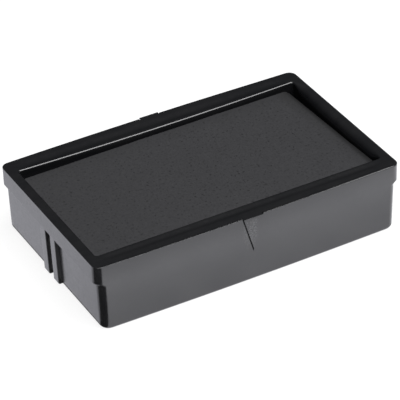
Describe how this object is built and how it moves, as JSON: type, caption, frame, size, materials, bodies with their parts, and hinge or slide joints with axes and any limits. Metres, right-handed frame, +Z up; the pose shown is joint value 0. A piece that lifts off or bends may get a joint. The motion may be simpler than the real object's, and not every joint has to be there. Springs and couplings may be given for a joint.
{
  "type": "ink pad",
  "caption": "Open black plastic tray with an overhanging rim at its short ends, filled with a dark grey inked foam pad over a felt ink reservoir.",
  "frame": {"origin": "centre of the underside", "axes": "+X along the length, away from the end with the two guide ribs; +Z up, out of the foam"},
  "size_m": [0.05, 0.0314, 0.011],
  "materials": {
    "black_plastic": "semi-gloss moulded",
    "inked_foam": "matt, fine open pores",
    "inked_felt": "matt, wet with ink"
  },
  "bodies": {
    "root": {"tray": "black_plastic", "foam_pad": "inked_foam", "ink_reservoir": "inked_felt"}
  },
  "joints": []
}
